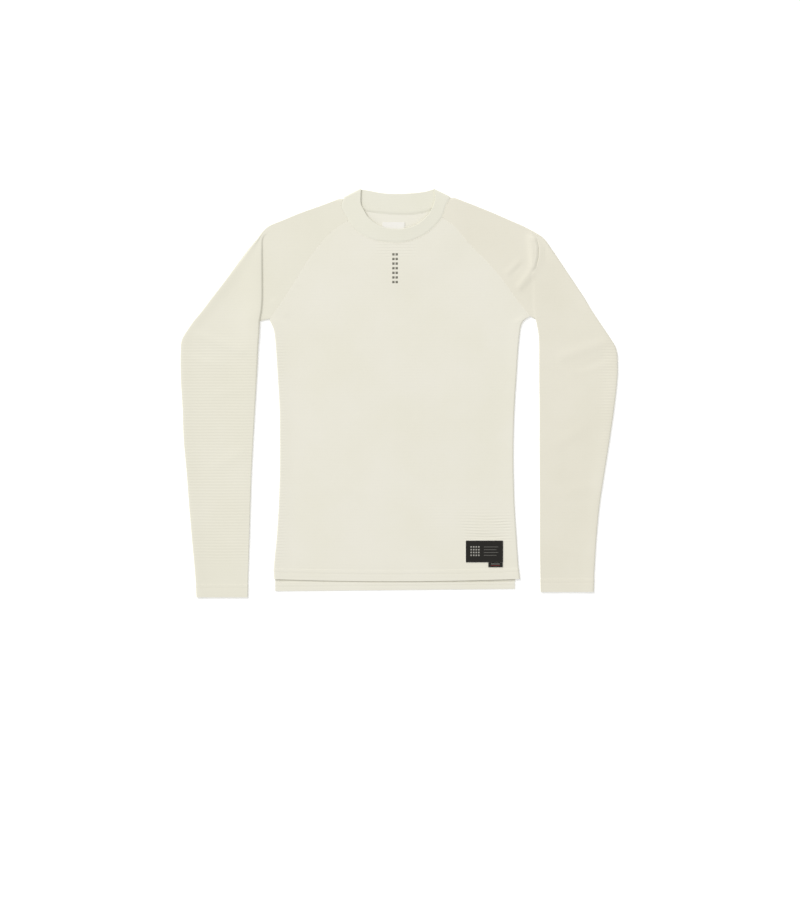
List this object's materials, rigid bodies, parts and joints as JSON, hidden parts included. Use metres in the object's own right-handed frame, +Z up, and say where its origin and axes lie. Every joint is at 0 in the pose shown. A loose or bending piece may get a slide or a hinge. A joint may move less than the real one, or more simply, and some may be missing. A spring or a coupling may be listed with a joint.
{
  "type": "thermal base layer top",
  "caption": "Slim thermal base layer top with raglan long sleeves, a low stand collar and a split stepped hem, laid flat on its back.",
  "frame": {"origin": "centre of the top's outline in plan, on the flat face that its back rests on", "axes": "+X to the viewer's right, which is the wearer's left, +Y towards the neck, +Z up, out of the front"},
  "size_m": [0.7206, 0.6746, 0.0067],
  "materials": {
    "knit": "matt brushed thermal knit, warm off-white",
    "collar_knit": "matt smooth double knit, warm off-white",
    "white_label": "soft satin tape, white",
    "black_label": "matt woven label, black"
  },
  "bodies": {
    "root": {"front_panel": "knit", "back_panel": "knit", "sleeve_left": "knit", "sleeve_right": "knit", "collar": "collar_knit", "neck_label": "white_label", "hem_patch": "black_label", "patch_tab": "black_label"}
  },
  "joints": []
}
